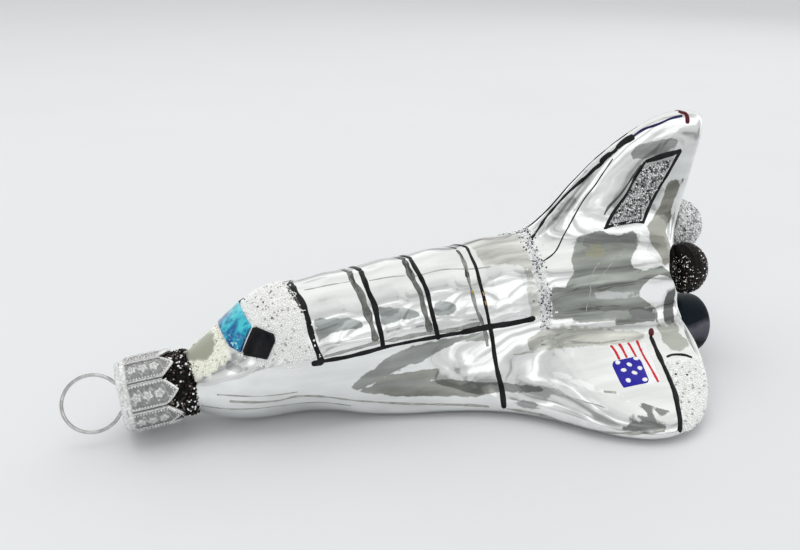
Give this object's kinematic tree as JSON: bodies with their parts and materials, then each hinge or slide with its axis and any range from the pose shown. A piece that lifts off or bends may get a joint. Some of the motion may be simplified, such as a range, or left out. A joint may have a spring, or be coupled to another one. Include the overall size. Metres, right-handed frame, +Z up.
{
  "type": "blown-glass tree ornament in the shape of a space shuttle",
  "caption": "Silvered blown-glass space shuttle ornament with delta wings, fin, engine bells, glitter coats, a pull-off crown cap and a wire hanging loop.",
  "frame": {"origin": "middle of the footprint, at the height of the surface the ornament lies on", "axes": "+X runs from the hanging loop to the engines, +Z up, -Y the port wing"},
  "size_m": [0.124, 0.0692, 0.0489],
  "materials": {
    "silvered_glass": "mirror-silvered inside, clear and glossy outside",
    "cap_foil": "pressed foil, satin silver",
    "hanger_wire": "bright drawn wire",
    "black_glitter": "black glass grains in lacquer",
    "white_glitter": "clear white glass grains in lacquer",
    "silver_glitter": "coarse silver grains in lacquer",
    "black_enamel": "satin black enamel on glass",
    "black_pane": "thick gloss black enamel",
    "blue_pane": "translucent blue lacquer"
  },
  "bodies": {
    "ornament": {"glass_body": "silvered_glass", "neck_glitter": "black_glitter", "engine_dome_top": "silver_glitter", "pod_nozzle_port": "black_glitter", "pod_nozzle_starboard": "black_glitter", "engine_bell_port": "black_enamel", "engine_bell_starboard": "black_enamel", "cockpit_glitter": "white_glitter", "waist_glitter_band": "silver_glitter", "rudder_glitter_port": "silver_glitter", "rudder_glitter_starboard": "silver_glitter", "wing_glitter_port": "white_glitter", "wing_glitter_starboard": "white_glitter", "windshield_pane": "blue_pane", "side_window_port": "black_pane", "side_window_starboard": "black_pane"},
    "cap": {"cap_crown": "cap_foil"},
    "hanger": {"hanger_loop": "hanger_wire"}
  },
  "joints": [
    {"name": "cap_pull", "type": "slide", "parent": "ornament", "child": "cap", "axis": [-0.9973, 0, -0.0732], "range_m": [0, 0.012]},
    {"name": "hanger_draw", "type": "slide", "parent": "cap", "child": "hanger", "axis": [-0.9973, 0, -0.0732], "range_m": [0, 0.004]}
  ]
}
